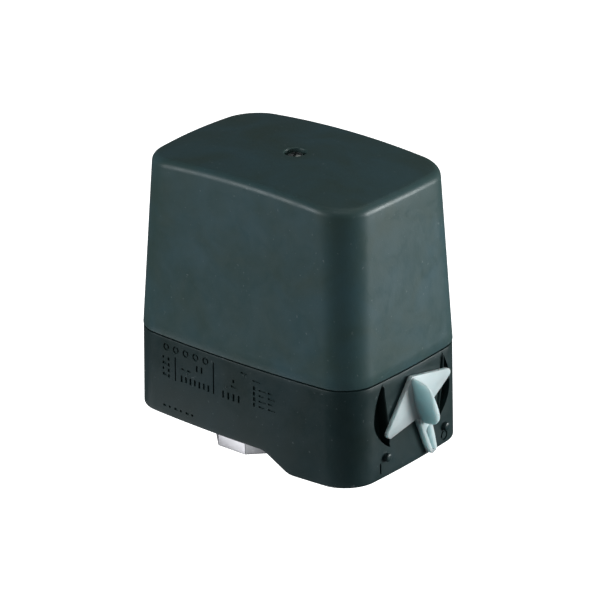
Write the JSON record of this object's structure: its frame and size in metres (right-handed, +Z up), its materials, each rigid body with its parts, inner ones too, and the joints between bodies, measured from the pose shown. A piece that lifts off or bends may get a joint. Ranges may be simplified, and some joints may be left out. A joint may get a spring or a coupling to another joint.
{
  "type": "pressure switch",
  "caption": "Compressor pressure switch: dark moulded hood over a base with a threaded pressure port below, cable entries at one end and an arrow-shaped on/off knob at the other.",
  "frame": {"origin": "centre of the pressure port's mouth, in the plane of the port's bottom face", "axes": "+Z up, from the port into the switch; +X towards the end that carries the knob; +Y across the switch's width"},
  "size_m": [0.1211, 0.0736, 0.1214],
  "materials": {
    "hood_plastic": "satin moulded, very slightly green dark grey",
    "base_plastic": "satin moulded, near black",
    "knob_plastic": "pale cool grey, satin",
    "port_metal": "die-cast, light satin",
    "zinc_steel": "bright zinc plate",
    "screw_steel": "bright zinc plate",
    "dark_screw": "blackened",
    "spring_steel": "oiled spring wire",
    "brass": "plain brass",
    "copper": "copper strip with silver tips",
    "natural_plastic": "natural nylon",
    "block_plastic": "black thermoset",
    "seal_rubber": "black nitrile"
  },
  "bodies": {
    "housing": {"base_housing": "base_plastic", "cover_seal": "seal_rubber", "cover_post": "zinc_steel", "pressure_socket": "port_metal", "diaphragm": "seal_rubber", "clamp_flange": "zinc_steel", "flange_screw_1": "screw_steel", "flange_screw_2": "screw_steel", "flange_screw_3": "screw_steel", "flange_screw_4": "screw_steel", "housing_screw_front": "screw_steel", "housing_screw_rear": "screw_steel", "frame_bracket": "zinc_steel", "rocker_pin": "zinc_steel", "earth_clamp": "zinc_steel", "earth_screw": "screw_steel", "terminal_block": "block_plastic", "block_screw_1": "screw_steel", "block_screw_2": "screw_steel", "fixed_contact_1": "brass", "fixed_contact_2": "brass", "fixed_contact_3": "brass", "fixed_contact_4": "brass", "fixed_contact_5": "brass", "fixed_contact_6": "brass", "terminal_screw_1": "screw_steel", "terminal_screw_2": "screw_steel", "terminal_screw_3": "screw_steel", "terminal_screw_4": "screw_steel", "terminal_screw_5": "screw_steel", "terminal_screw_6": "screw_steel", "cable_seal_front": "seal_rubber", "cable_seal_rear": "seal_rubber"},
    "cover": {"cover_hood": "hood_plastic", "cover_screw_retainer": "zinc_steel"},
    "cover_screw": {"cover_screw": "dark_screw"},
    "knob": {"switch_knob": "knob_plastic", "knob_shaft": "zinc_steel", "off_cam": "natural_plastic", "shaft_clip": "spring_steel"},
    "yoke": {"lifting_yoke": "zinc_steel"},
    "carrier": {"contact_carrier": "natural_plastic", "contact_bridge_1": "copper", "contact_bridge_2": "copper", "contact_bridge_3": "copper", "bridge_spring_1": "spring_steel", "bridge_spring_2": "spring_steel", "bridge_spring_3": "spring_steel"},
    "piston": {"pressure_piston": "brass"},
    "lever": {"rocker_lever": "zinc_steel", "differential_seat": "zinc_steel"},
    "range_seat": {"range_seat_lower": "zinc_steel"},
    "range_nut": {"range_nut": "brass", "range_spring": "spring_steel"},
    "range_spindle": {"range_spindle": "zinc_steel"},
    "diff_nut": {"differential_nut": "brass", "differential_spring": "spring_steel"},
    "diff_screw": {"differential_screw": "zinc_steel"}
  },
  "joints": [
    {"name": "cover_lift", "type": "slide", "parent": "housing", "child": "cover", "axis": [0, 0, 1], "range_m": [0, 0.115]},
    {"name": "cover_screw_turn", "type": "hinge", "parent": "cover", "child": "cover_screw", "pos_m": [0.0196, 0, 0.1185], "axis": [0, 0, 1], "continuous": true},
    {"name": "knob_turn", "type": "hinge", "parent": "housing", "child": "knob", "pos_m": [0.0736, 0.0013, 0.0372], "axis": [-1, 0, 0], "range_deg": [-14.1, 50.1]},
    {"name": "off_lift", "type": "slide", "parent": "housing", "child": "yoke", "axis": [0, 0, 1], "range_m": [-0.00264, 0.00074]},
    {"name": "pressure_stroke", "type": "slide", "parent": "housing", "child": "piston", "axis": [0, 0, 1], "range_m": [0, 0.0008], "stiffness_N_per_m": 2000},
    {"name": "lever_tilt", "type": "hinge", "parent": "housing", "child": "lever", "pos_m": [-0.024, 0, 0.03825], "axis": [0, -1, 0], "range_deg": [0, 2]},
    {"name": "range_seat_rise", "type": "slide", "parent": "housing", "child": "range_seat", "axis": [0, 0, 1], "range_m": [0, 0.00085]},
    {"name": "contact_lift", "type": "slide", "parent": "yoke", "child": "carrier", "axis": [0, 0, 1], "range_m": [0, 0.0024]},
    {"name": "range_adjust", "type": "hinge", "parent": "housing", "child": "range_spindle", "pos_m": [0, 0, 0.0868], "axis": [0, 0, 1], "range_deg": [0, 1445]},
    {"name": "range_nut_travel", "type": "slide", "parent": "housing", "child": "range_nut", "axis": [0, 0, 1], "range_m": [-0.006, 0], "deforming": ["range_spring"]},
    {"name": "differential_adjust", "type": "hinge", "parent": "housing", "child": "diff_screw", "pos_m": [-0.0155, 0, 0.0868], "axis": [0, 0, 1], "range_deg": [0, 1445]},
    {"name": "differential_nut_travel", "type": "slide", "parent": "housing", "child": "diff_nut", "axis": [0, 0, 1], "range_m": [-0.0028, 0], "deforming": ["differential_spring"]}
  ],
  "couplings": [
    {"joint": "knob_turn", "follows": "off_lift", "rad_per_m": -330.03},
    {"joint": "lever_tilt", "follows": "pressure_stroke", "rad_per_m": 41.667},
    {"joint": "range_seat_rise", "follows": "pressure_stroke", "ratio": 1},
    {"joint": "contact_lift", "follows": "pressure_stroke", "ratio": 2.875},
    {"joint": "range_adjust", "follows": "range_nut_travel", "rad_per_m": -4188.8},
    {"joint": "differential_adjust", "follows": "differential_nut_travel", "rad_per_m": -8976}
  ]
}
